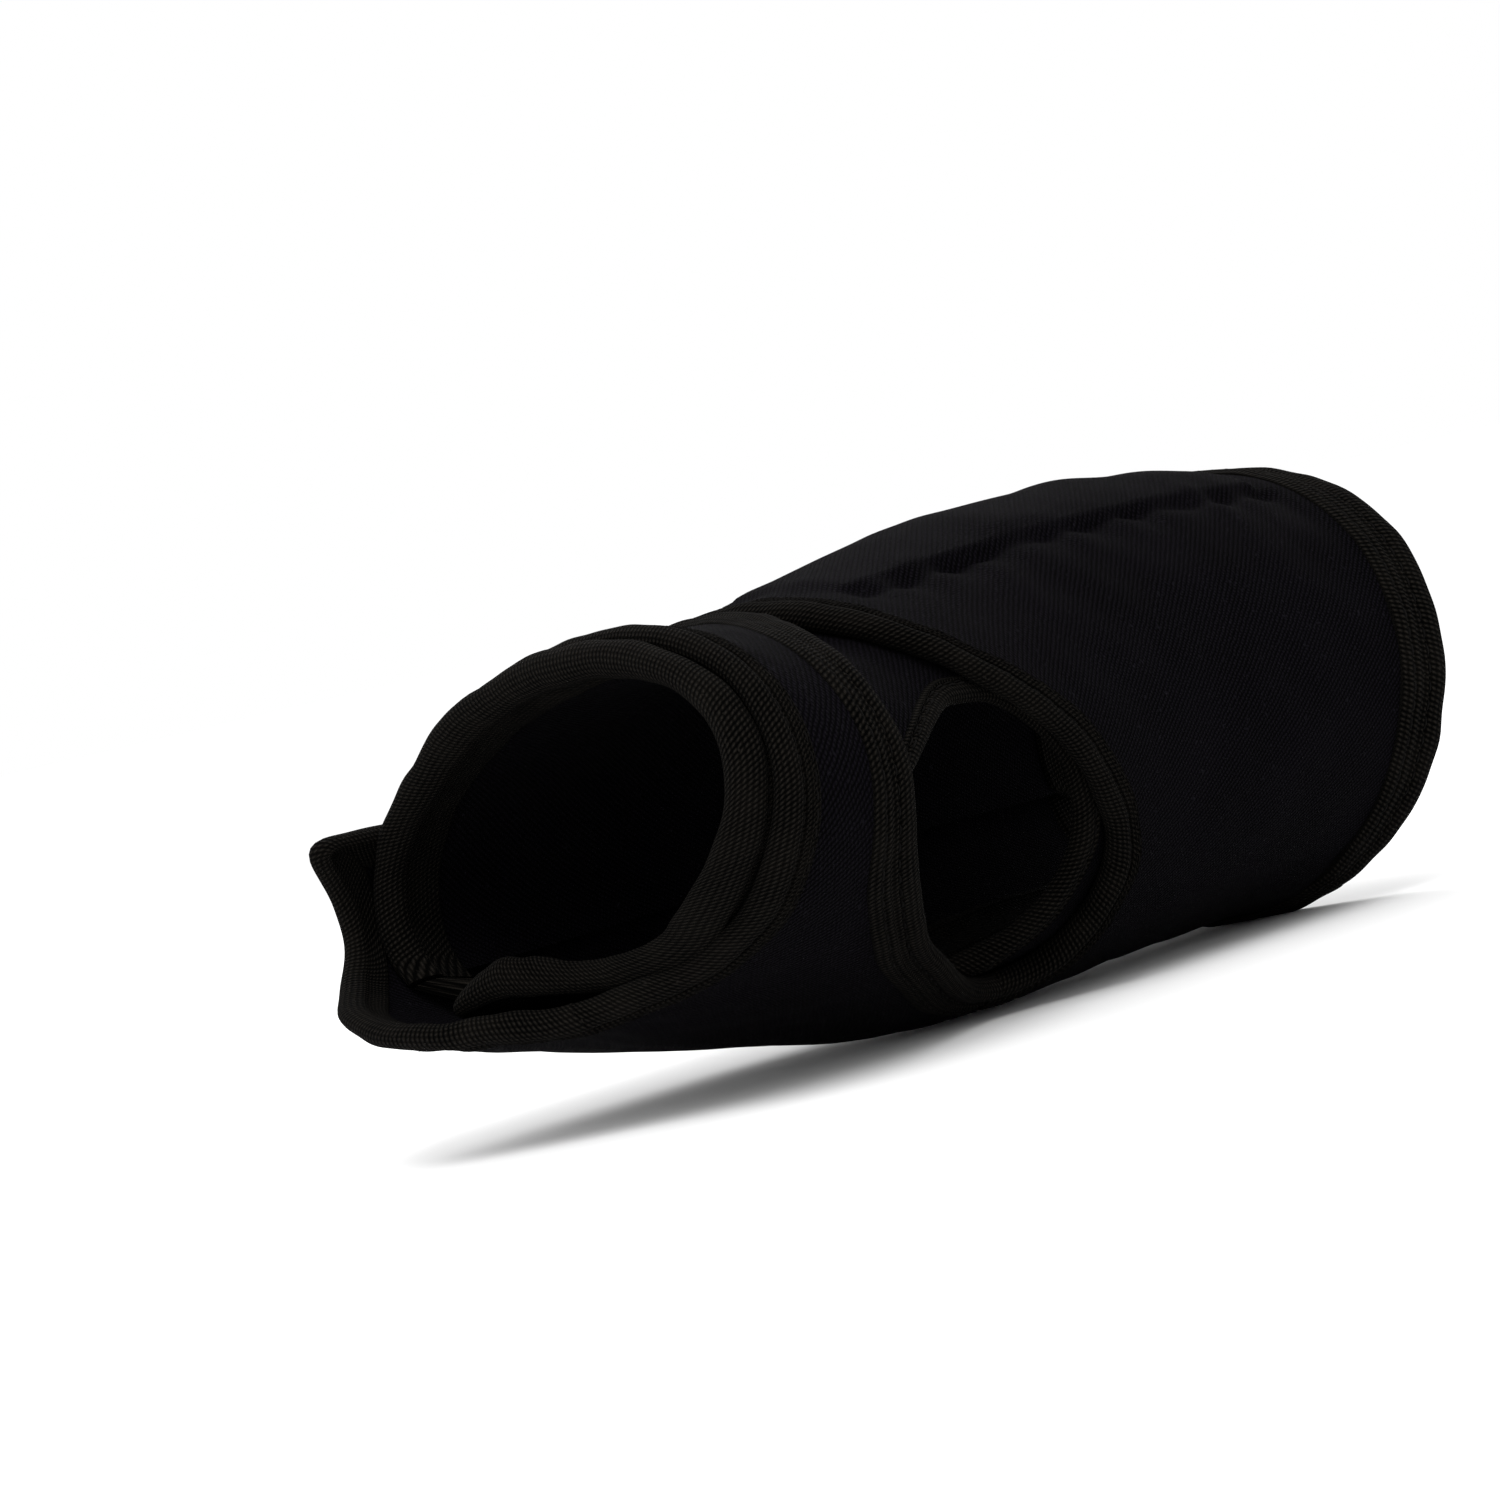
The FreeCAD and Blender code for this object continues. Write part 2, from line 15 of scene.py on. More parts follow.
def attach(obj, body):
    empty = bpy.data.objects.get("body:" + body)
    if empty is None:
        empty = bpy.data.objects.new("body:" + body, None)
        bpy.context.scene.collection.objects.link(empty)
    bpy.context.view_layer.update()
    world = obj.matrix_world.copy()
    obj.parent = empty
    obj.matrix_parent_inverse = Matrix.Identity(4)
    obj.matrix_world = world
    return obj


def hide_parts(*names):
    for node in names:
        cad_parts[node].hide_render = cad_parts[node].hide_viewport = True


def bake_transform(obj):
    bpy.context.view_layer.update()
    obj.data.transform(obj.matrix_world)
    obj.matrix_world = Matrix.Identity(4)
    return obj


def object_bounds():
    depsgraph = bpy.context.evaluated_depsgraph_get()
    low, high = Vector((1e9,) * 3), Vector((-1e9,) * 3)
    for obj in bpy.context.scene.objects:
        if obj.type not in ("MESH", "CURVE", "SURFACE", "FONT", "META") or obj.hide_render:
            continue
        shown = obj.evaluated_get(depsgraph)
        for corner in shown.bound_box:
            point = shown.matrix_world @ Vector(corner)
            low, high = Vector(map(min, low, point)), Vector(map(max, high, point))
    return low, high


MM = 0.001


# ---------------------------------------------------------------- camera
def make_camera():
    """The photograph's viewing angle: almost level, from the thumb side, the frame rolled."""
    azimuth, elevation, roll = math.radians(-47.39), math.radians(2.45), math.radians(-13.22)
    distance, lens_mm, sensor_mm = 0.8, 135.168, 36.0
    # Where the row frame's origin falls on the sensor, from the sensor's middle.
    origin_right_mm, origin_down_mm = 3.6048, 1.3248
    back = Vector((math.sin(azimuth) * math.cos(elevation),
                   -math.cos(azimuth) * math.cos(elevation), math.sin(elevation)))
    right = Vector((math.cos(azimuth), math.sin(azimuth), 0))
    up = back.cross(right)
    across = right * math.cos(roll) + up * math.sin(roll)
    upwards = up * math.cos(roll) - right * math.sin(roll)
    behind = (across * origin_right_mm - upwards * origin_down_mm + back * lens_mm).normalized()
    across = (across - behind * across.dot(behind)).normalized()
    camera = bpy.data.objects.new("camera", bpy.data.cameras.new("camera"))
    bpy.context.scene.collection.objects.link(camera)
    camera.data.sensor_width = sensor_mm
    camera.data.lens = lens_mm
    camera.data.clip_start, camera.data.clip_end = 0.05, 50
    axes = Matrix((across, behind.cross(across), behind)).transposed()
    camera.matrix_world = Matrix.Translation(back * distance) @ axes.to_4x4()
    bpy.context.scene.camera = camera


make_camera()
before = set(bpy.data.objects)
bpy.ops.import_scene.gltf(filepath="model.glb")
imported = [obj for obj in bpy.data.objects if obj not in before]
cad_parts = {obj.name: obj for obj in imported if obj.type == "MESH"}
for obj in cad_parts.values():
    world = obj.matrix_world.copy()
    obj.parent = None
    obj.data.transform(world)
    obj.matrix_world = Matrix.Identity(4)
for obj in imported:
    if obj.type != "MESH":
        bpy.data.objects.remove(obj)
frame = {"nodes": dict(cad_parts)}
cad_low, cad_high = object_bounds()


# ---------------------------------------------------------------- the arm's surface
def natural_spline(xs, ys):
    """A smooth curve through the points, straight at its two ends."""
    xs, ys = np.array(xs, float), np.array(ys, float)
    gaps, count = np.diff(xs), len(xs)
    system, target = np.eye(count), np.zeros(count)
    for i in range(1, count - 1):
        system[i, i - 1:i + 2] = gaps[i - 1], 2 * (gaps[i - 1] + gaps[i]), gaps[i]
        slopes = (ys[i + 1] - ys[i]) / gaps[i], (ys[i] - ys[i - 1]) / gaps[i - 1]
        target[i] = 6 * (slopes[0] - slopes[1])
    bends = np.linalg.solve(system, target)

    def at(x):
        i = np.clip(np.searchsorted(xs, x) - 1, 0, count - 2)
        gap, below, above = gaps[i], x - xs[i], xs[i + 1] - x
        return (bends[i] * above ** 3 / (6 * gap) + bends[i + 1] * below ** 3 / (6 * gap)
                + (ys[i] / gap - bends[i] * gap / 6) * above
                + (ys[i + 1] / gap - bends[i + 1] * gap / 6) * below)
    return at


def steady_curve(points):
    """A curve through the points that never overshoots them, level beyond both ends."""
    xs, ys = np.array(points, float).T
    gaps, rises = np.diff(xs), np.diff(ys) / np.diff(xs)
    slopes = np.zeros(len(xs))
    for i in range(1, len(xs) - 1):
        if rises[i - 1] * rises[i] > 0:
            slopes[i] = 2 / (1 / rises[i - 1] + 1 / rises[i])
    slopes[0], slopes[-1] = rises[0], rises[-1]

    def at(x):
        x = np.clip(x, xs[0], xs[-1])
        i = np.clip(np.searchsorted(xs, x) - 1, 0, len(xs) - 2)
        s = (x - xs[i]) / gaps[i]
        return (ys[i] * (1 + 2 * s) * (1 - s) ** 2 + slopes[i] * gaps[i] * s * (1 - s) ** 2
                + ys[i + 1] * s ** 2 * (3 - 2 * s) + slopes[i + 1] * gaps[i] * s ** 2 * (s - 1))
    return at


SECTION_X = (-92, -45, -5, 40, 92)
half_width = natural_spline(SECTION_X, (39.5, 41, 34.1, 31.3, 33.9))
half_depth = natural_spline(SECTION_X, (18.7, 21.6, 27.3, 28.2, 27.1))
centre_y = natural_spline(SECTION_X, (-3.3, -2.1, -0.8, 0.3, 0.5))
centre_z = natural_spline(SECTION_X, (12.8, 3.3, 2.4, 4.6, 0.8))
section_roll = natural_spline(SECTION_X, (-10, -8.8, -6, -5.5, -6.3))


def place(x, polar, height):
    """The point at x and a polar angle that lies a height above the skin.

    The skin's section at x is a rolled ellipse, and polar angles are about the row frame's X axis.
    """
    x, polar, height = np.broadcast_arrays(*(np.asarray(v, float) for v in (x, polar, height)))
    wide, deep, roll = half_width(x) + height, half_depth(x) + height, np.radians(section_roll(x))
    turn, tilt = np.cos(roll), np.sin(roll)
    way_y, way_z = -np.cos(np.radians(polar)), np.sin(np.radians(polar))
    from_y, from_z = -centre_y(x), -centre_z(x)
    from_u, from_v = (turn * from_y + tilt * from_z) / wide, (turn * from_z - tilt * from_y) / deep
    way_u, way_v = (turn * way_y + tilt * way_z) / wide, (turn * way_z - tilt * way_y) / deep
    square, half_linear = way_u ** 2 + way_v ** 2, from_u * way_u + from_v * way_v
    rest = from_u ** 2 + from_v ** 2 - 1
    reach = (-half_linear + np.sqrt(half_linear ** 2 - square * rest)) / square
    return np.stack([x, reach * way_y, reach * way_z], -1)


def slopes_at(x, polar, height):
    """How the point moves per millimetre of x and per degree, and the outward normal."""
    step = 0.2
    along = (place(x + step, polar, height) - place(x - step, polar, height)) / (2 * step)
    around = (place(x, polar + step, height) - place(x, polar - step, height)) / (2 * step)
    normal = np.cross(along, around)
    normal /= np.linalg.norm(normal, axis=-1, keepdims=True)
    middle = place(x, polar, height) * (0, 1, 1)
    return along, around, normal * np.sign((normal * middle).sum(-1, keepdims=True))


def leaning_edge(base, per_y, per_z, height):
    """The x, at a polar angle, of a straight cut across the arm that leans in y and z."""
    def at(polar):
        x = np.full(np.shape(polar), float(base))
        for _ in range(12):
            point = place(x, polar, height)
            x = base + per_y * point[..., 1] + per_z * point[..., 2]
        return x
    return at


def outline_edge(curve, height):
    """The x, at a polar angle, of an edge near the fingers given as x against y."""
    def at(polar):
        x = np.full(np.shape(polar), -70.0)
        for _ in range(40):
            x = 0.5 * x + 0.5 * curve(place(x, polar, height)[..., 1])
        return x
    return at


def ramp(value, start, end):
    """0 before start, 1 after end and a smooth step between them."""
    share = np.clip((value - start) / (end - start), 0, 1)
    return share * share * (3 - 2 * share)


def inside(value, low, high, margin):
    """1 from low to high, falling smoothly to 0 a margin beyond them."""
    return ramp(value, low - margin, low) * ramp(-value, -high - margin, -high)


def ripple(u, v, size, seed):
    """Smooth unevenness from about -1 to 1 whose bumps are size millimetres apart."""
    random = np.random.default_rng(seed)
    waves, total = 7, 0
    for _ in range(waves):
        angle, phase = random.uniform(0, 2 * math.pi, 2)
        pitch = 2 * math.pi / size * random.uniform(0.6, 1.5)
        total = total + np.sin(pitch * (u * math.cos(angle) + v * math.sin(angle)) + phase)
    return total / (waves / 2)


# ---------------------------------------------------------------- edges of the cloth
# Heights above the skin of the two layers, and of the cuff flap's inner face over the stay.
OUTER_MIDDLE, OUTER_TOP, INNER_MIDDLE, INNER_TOP = 5.0, 6.1, 1.5, 2.6
CUFF_UNDER = 3.9
# Polar angles: where the outer rim changes its course, the seam between the outer layer's
# sheets, the foot of the thumb opening, and the free ends of the panel, flaps and inner layer.
HAND_HINGE, SHEET_SEAM, HEEL = -13, -64, -58
LAP_EDGE, HAND_END, CUFF_END, FREE_START, ULNAR_END = -200, 110, 112, -128.0, 192
# Where along the arm that foot is, and how far across the palm the inner layer's free end lies.
HEEL_X, FREE_END_Y = -7.7, 19
# The thumb hole: seen along the tilted thumb, it is a circle made wider along the arm.
THUMB_X, THUMB_UP, THUMB_RADIUS, THUMB_WIDE = -29, 6, 23.5, 1.2
THUMB_TILT = math.radians(25)

outer_rim_line = leaning_edge(-65.3, 0.151, 0, OUTER_MIDDLE)
cuff_rim = leaning_edge(80.7, 0.026, 0.157, OUTER_MIDDLE)
inner_rim_line = leaning_edge(-70, 0.151, 0, INNER_MIDDLE)
inner_cuff = leaning_edge(77.5, 0.026, 0.157, INNER_MIDDLE)
palm_trim = outline_edge(steady_curve((
    (-37, -71), (-25, -71.5), (-10, -76.6), (6, -83), (18, -85.8), (30, -82.8), (39, -75),
    (47, -61))), OUTER_MIDDLE)
free_rim = outline_edge(steady_curve((
    (-50, -77.2), (-33, -75), (-22, -72.8), (-12, -73), (-3, -76.2), (4, -80), (11, -80.6),
    (16, -78.4), (18.4, -74.5), (19, -69))), INNER_MIDDLE)
hand_notch = steady_curve((
    (HEEL, HEEL_X), (-56.8, -11), (-50, -18), (-36.5, -29), (-26, -37), (-14, -43.6), (-4, -48.3),
    (8, -50.8), (19, -51.2), (35, -48.4), (56, -40.8), (74, -37.5), (120, -37.5)))
cuff_notch = steady_curve((
    (HEEL, HEEL_X), (-56.8, -4.2), (-51, 0.5), (-40, 3.6), (-26, 4.6), (-14, 2.8), (-3, -2),
    (6, -7.6), (14.5, -14.8), (26, -25.2), (38, -31.4), (52, -33.3), (120, -33.3)))


def outer_rim(polar):
    """The fingers' edge of the outer layer: straight on the flap, shaped in the palm."""
    return np.where(polar > HAND_HINGE, outer_rim_line(polar), palm_trim(polar))


def inner_rim(polar):
    """The fingers' edge of the inner layer, shaped where it ends in the palm."""
    return np.where(polar > HAND_HINGE, inner_rim_line(polar), free_rim(polar))


def free_end(x):
    """The polar angle of the inner layer's free end, a straight line along the palm."""
    polar = np.full(np.shape(x), -120.0)
    for _ in range(40):
        depth = place(x, polar, INNER_MIDDLE)[..., 2]
        polar = 0.5 * polar + 0.5 * np.degrees(np.arctan2(depth, -FREE_END_Y))
    return polar


def at_heel(polar):
    """The line across the palm from the foot of the thumb opening."""
    return np.full(np.shape(polar), HEEL_X)


def through_thumb(polar):
    """The line across the inner layer through the middle of the thumb hole."""
    return np.full(np.shape(polar), float(THUMB_X))


def up_along_thumb(point):
    """How high a point lies when it is seen along the thumb."""
    return math.cos(THUMB_TILT) * point[..., 2] - math.sin(THUMB_TILT) * point[..., 1]


def hole_edge(polar, side):
    """The x of the thumb hole's edge at a polar angle, on the fingers' side or the other."""
    x = through_thumb(polar)
    for _ in range(30):
        up = up_along_thumb(place(x, polar, INNER_MIDDLE)) - THUMB_UP
        half = THUMB_WIDE * np.sqrt(np.maximum(THUMB_RADIUS ** 2 - up ** 2, 0))
        x = 0.5 * x + 0.5 * (THUMB_X + side * half)
    return x


def hole_limits():
    """The polar angles between which the thumb hole lies."""
    inside_hole, reach, steps, limits = -20, 60, 1200, []
    for way in (-1, 1):
        polar = inside_hole + way * np.linspace(0, reach, steps + 1)
        up = up_along_thumb(place(through_thumb(polar), polar, INNER_MIDDLE))
        limits.append(polar[np.argmax(np.abs(up - THUMB_UP) >= THUMB_RADIUS)])
    return limits


# ---------------------------------------------------------------- unevenness of the cloth
# The pocket and the room over its stay: from and to in x, low and high as polar angles.
POCKET_FROM, POCKET_TO, POCKET_LOW, POCKET_HIGH, POCKET_TOP = -24, 74, 56, 97, 6.75
STAY_FROM, STAY_TO, STAY_LOW, STAY_HIGH = -21, 69, 60, 93
ARM_RADIUS = 36


def round_arc(polar):
    """Millimetres along the cloth from the thumb side's line, near enough for patterns."""
    return np.radians(polar) * ARM_RADIUS


def pocket_relief(x, polar):
    """The stay's ridge, the sewn line beside it and the puckers that the line draws."""
    groove_breadth, pucker_breadth, pucker_pitch = 1.7, 4.4, 10.5
    dimple_x, dimple_length, dimple_breadth = 2.6, 4.5, 3.2
    seam = POCKET_LOW + 1.5 * np.sin(x / 17) + 0.8 * np.sin(x / 5.3 + 1)
    above = round_arc(polar - seam)
    lengthwise = inside(x, POCKET_FROM + 5, POCKET_TO - 5, margin=6)
    raised = ramp(above, 0, 5) * ramp(-polar, -POCKET_HIGH - 1, 5 - POCKET_HIGH)
    ridge = (0.5 + 0.45 * ripple(x, above, size=30, seed=4)) * raised
    groove = -0.75 * np.exp(-(above / groove_breadth) ** 2)
    wander = 1.8 * ripple(x, 0 * x, size=27, seed=9)
    beat = np.sin(2 * math.pi * (x + wander) / pucker_pitch)
    near_line = np.exp(-(above / pucker_breadth) ** 2)
    puckers = 0.55 * beat * near_line * (0.75 + 0.35 * ripple(x, 0 * x, size=24, seed=12))
    dimple = -1.5 * np.exp(-((x - dimple_x) / dimple_length) ** 2 - (above / dimple_breadth) ** 2)
    return lengthwise * (ridge + groove + puckers) + dimple


def waist_creases(x, polar):
    """Shallow folds that run round the arm where the wrist bends."""
    arc = round_arc(polar)
    folds = np.sin((x + 0.16 * arc) / 2.9 + ripple(x, arc, size=40, seed=21))
    here = ramp(ripple(x, arc, size=34, seed=22), 0.1, 1.1)
    return 0.28 * folds * here


def hand_height(x, polar):
    """The hand flap's outer face above the skin, which the other sheets join level."""
    arc = round_arc(polar)
    swell = 0.3 * ripple(x, arc, size=38, seed=5) + 0.1 * ripple(x, arc, size=11, seed=6)
    return OUTER_TOP + swell


def level_lift(x, polar):
    """How an outer tape stands off its even height where its sheet is level with the hand flap."""
    return hand_height(x, polar) - OUTER_TOP


def hand_rim_lift(x, polar):
    """How the hand flap and its tape stand off their even height, pressed down at the rim."""
    pressed = 0.7 * ramp(polar, 30, 75) * ramp(-x, 50, 62)
    return level_lift(x, polar) - pressed


def hand_flap_height(x, polar):
    """The hand flap's outer face above the skin beyond the foot of the thumb opening."""
    return OUTER_TOP + hand_rim_lift(x, polar)


def joining_seam(x, polar, own):
    """A sheet's own height, brought to the hand flap's along the seam that they share."""
    reach = 14
    share = ramp(np.abs(polar - SHEET_SEAM), 0, reach)
    return hand_height(x, polar) * (1 - share) + own * share


def cuff_height(x, polar):
    """The cuff flap's outer face above the skin, which keeps clear of the stay."""
    arc, sharpness = round_arc(polar), 3.5
    swell = 0.45 * ripple(x, arc, size=46, seed=1) + 0.14 * ripple(x, arc, size=13, seed=2)
    own = OUTER_TOP + swell + pocket_relief(x, polar) + 0.6 * waist_creases(x, polar)
    over_stay = (inside(polar, STAY_LOW, STAY_HIGH, margin=5)
                 * inside(x, STAY_FROM, STAY_TO, margin=5))
    lowest = POCKET_TOP - 3 * (1 - over_stay)
    own = np.logaddexp(own * sharpness, lowest * sharpness) / sharpness
    away_from_tape = ramp(-polar, -103, -95) * ramp(-x, -75, -70.5)
    return joining_seam(x, polar, OUTER_TOP + (own - OUTER_TOP) * away_from_tape)


def palm_height(x, polar):
    """The palm panel's outer face above the skin."""
    arc = round_arc(polar)
    swell = 0.4 * ripple(x, arc, size=42, seed=7) + 0.1 * ripple(x, arc, size=12, seed=8)
    return joining_seam(x, polar, OUTER_TOP + swell + waist_creases(x, polar))


def free_end_curl(x, polar):
    """How far the inner layer's free end curls in, off the outer layer, as a negative height."""
    rise = steady_curve(((-156, -1.5), (-146, -2.0), (-134, -3.0), (-118, -3.9), (-96, -3.8),
                         (-65, -2.4), (-42, -1), (-24, 0)))
    return rise(polar) * ramp(-x, 30, 62)


def inner_height(x, polar):
    """The inner layer's outer face above the skin."""
    arc = round_arc(polar)
    full = 0.9 * ramp(polar, 20, 60) * ramp(-polar, -150, -110) * ramp(-x, 62, 68)
    swell = 0.16 * ripple(x, arc, size=21, seed=11) + 0.08 * ripple(x, arc, size=8, seed=13)
    return INNER_TOP + full + free_end_curl(x, polar) + swell


def inner_lift(x, polar):
    """How the inner layer's tapes stand off their even height."""
    return inner_height(x, polar) - INNER_TOP


# ---------------------------------------------------------------- meshes
CLOTH_THICKNESS = 2.2
# How far the cloth ends inside the fold of its tape, in millimetres and in degrees.
TUCKED, TUCKED_TURN = 1.3, 1.8


def mesh_object(name, points, faces, uv, sharp=40):
    """A mesh object from points in millimetres, faces and a cloth coordinate for each point."""
    mesh = bpy.data.meshes.new(name)
    mesh.from_pydata((np.asarray(points) * MM).tolist(), [], [tuple(map(int, f)) for f in faces])
    work = bmesh.new()
    work.from_mesh(mesh)
    bmesh.ops.recalc_face_normals(work, faces=work.faces)
    layer = work.loops.layers.uv.new("cloth")
    uv = np.asarray(uv, float) * MM
    for face in work.faces:
        face.smooth = True
        for loop in face.loops:
            loop[layer].uv = uv[loop.vert.index]
    work.to_mesh(mesh)
    work.free()
    mesh.set_sharp_from_angle(angle=math.radians(sharp))
    made = bpy.data.objects.new(name, mesh)
    bpy.context.scene.collection.objects.link(made)
    return made


def cloth(name, patches, inner_limit=math.inf):
    """A closed sheet from patches, each (x, polar, outer height) over a grid.

    Its inner face stands at most inner_limit above the skin, so that it can close a pocket.
    """
    known, outer, inner, uv, faces = {}, [], [], [], []
    for x, polar, height in patches:
        top = place(x, polar, height)
        bottom = place(x, polar, np.minimum(height - CLOTH_THICKNESS, inner_limit))
        arc = round_arc(polar)
        index = np.empty(x.shape, int)
        for spot in np.ndindex(*x.shape):
            key = tuple(np.round(top[spot], 3))
            if key not in known:
                known[key] = len(outer)
                outer.append(top[spot])
                inner.append(bottom[spot])
                uv.append((x[spot], arc[spot]))
            index[spot] = known[key]
        for i in range(x.shape[0] - 1):
            for j in range(x.shape[1] - 1):
                ring = (index[i, j], index[i, j + 1], index[i + 1, j + 1], index[i + 1, j])
                ring = tuple(dict.fromkeys(ring))
                if len(ring) > 2:
                    faces.append(ring)
    count, edges = len(outer), {}
    for ring in faces:
        for a, b in zip(ring, ring[1:] + ring[:1]):
            edges[a, b] = edges.get((a, b), 0) + 1
    walls = [(b, a, a + count, b + count) for a, b in edges if (b, a) not in edges]
    inside = [tuple(v + count for v in reversed(ring)) for ring in faces]
    return mesh_object(name, outer + inner, faces + inside + walls, uv + uv)


def rows(start, end, step=1.5):
    """Polar angles from start to end."""
    return np.linspace(start, end, max(2, int(round(abs(end - start) / step)) + 1))


def patch(polar, first, last, columns, height):
    """A grid whose rows run from x = first(polar) to x = last(polar), less what tapes cover."""
    share = np.linspace(0, 1, columns)[None, :]
    start = first(polar) + TUCKED * (first is not at_heel)
    stop = last(polar) - TUCKED * (last is not at_heel)
    x = start[:, None] * (1 - share) + stop[:, None] * share
    angle = np.broadcast_to(polar[:, None], x.shape)
    return x, angle, height(x, angle)


# ---------------------------------------------------------------- edge tapes
# Width that covers the cloth, thickening of the rolled edge and where the roll's groove lies.
RIM_TAPE, OUTER_TAPE, HOLE_TAPE = (8.9, 1.0, 3.7), (7.2, 0.35, 2.7), (3.0, 0.0, 1.9)
CAP_LENGTH = 1.5


def tape_profile(width, rise, groove_at):
    """The tape's section: a roll over the cloth's edge, then rows of ribs to its far edge.

    Each point is (distance in from the cloth's edge, height over the cloth's middle).
    """
    half, past = 1.7, 0.9 + 0.5 * rise
    spacing, rib_pitch, rib_height, groove_depth, groove_breadth = 0.3, 1.35, 0.16, 0.42, 0.42
    roll_centre = groove_at * 0.4
    turn = np.radians(np.linspace(90, 270, 13))
    roll = np.stack([roll_centre + (roll_centre + past) * np.cos(turn),
                     (half + rise) * np.sin(turn)], -1)
    across = np.arange(roll_centre + 1.5 * spacing, width - spacing, spacing)
    swell = rise * np.exp(-((across - roll_centre) / (0.4 * groove_at)) ** 2)
    ribs = rib_height * np.cos(2 * math.pi * (across - groove_at - 0.6) / rib_pitch)
    ribs = ribs * ramp(across, groove_at - 0.5, groove_at + 0.4)
    groove = -groove_depth * np.exp(-((across - groove_at) / groove_breadth) ** 2)
    top = np.stack([across, half + swell + ribs + groove], -1)[::-1]
    under = np.stack([across[::2], -(half + 0.6 * swell[::2])], -1)
    edge = np.array([(width, 1.2), (width + 0.05, -1.2)])
    return np.concatenate([edge[:1], top, roll, under, edge[1:]])


def spaced(path, step, height):
    """The path (x, polar), smoothed a little, with its points a step apart along the cloth.

    Also how far along the path each point lies.
    """
    path = np.asarray(path, float)
    for _ in range(2):
        point = place(path[:, 0], path[:, 1], height)
        run = np.concatenate([[0], np.cumsum(np.linalg.norm(np.diff(point, axis=0), axis=1))])
        want = np.linspace(0, run[-1], max(3, int(run[-1] / step) + 1))
        path = np.stack([np.interp(want, run, path[:, k]) for k in (0, 1)], -1)
        soft = path.copy()
        for _ in range(4):
            soft[1:-1] = (soft[:-2] + 2 * soft[1:-1] + soft[2:]) / 4
        path = soft
    return path, want


def tape_frame(path, height, side, width):
    """For each point of a path, the change of x and polar for a millimetre into the cloth.

    Also how much of its width the tape keeps there, because it gathers inside a tight corner.
    """
    x, polar = path.T
    along, around, normal = slopes_at(x, polar, height)
    way = np.gradient(place(x, polar, height), axis=0)
    way /= np.linalg.norm(way, axis=1, keepdims=True)
    inward = side * np.cross(normal, way)
    metric = np.stack([np.stack([(along * along).sum(1), (along * around).sum(1)], -1),
                       np.stack([(along * around).sum(1), (around * around).sum(1)], -1)], -2)
    wanted = np.stack([(along * inward).sum(1), (around * inward).sum(1)], -1)
    bend = (np.gradient(way, axis=0) * inward).sum(1)
    bend /= np.linalg.norm(np.gradient(place(x, polar, height), axis=0), axis=1)
    kept = np.clip(0.8 / np.maximum(bend, 1e-3) / width, 0.3, 1)
    for _ in range(6):
        kept[1:-1] = np.minimum(kept[1:-1], (kept[:-2] + kept[1:-1] + kept[2:]) / 3)
        kept[1:-1] = (kept[:-2] + 2 * kept[1:-1] + kept[2:]) / 4
    return np.linalg.solve(metric, wanted[..., None])[..., 0], kept


def rounded_ends(grid, start, end):
    """A band's rings, then a few more for each of its free ends, which round it off.

    Known fault: the rings for a free start also come after the last ring, so the band isn't
    rounded off there, and a thin strip runs back to its start from its other end.
    """
    turns = np.radians([25, 50, 72, 86])
    rings = [grid]
    for wanted, last, before in ((start, grid[0], grid[1]), (end, grid[-1], grid[-2])):
        if wanted:
            centre, way = last.mean(0), (last - before).mean(0)
            way = way / np.linalg.norm(way)
            rings.append(np.stack([centre + (last - centre) * math.cos(turn)
                                   + way * CAP_LENGTH * math.sin(turn) for turn in turns]))
    return np.concatenate(rings)


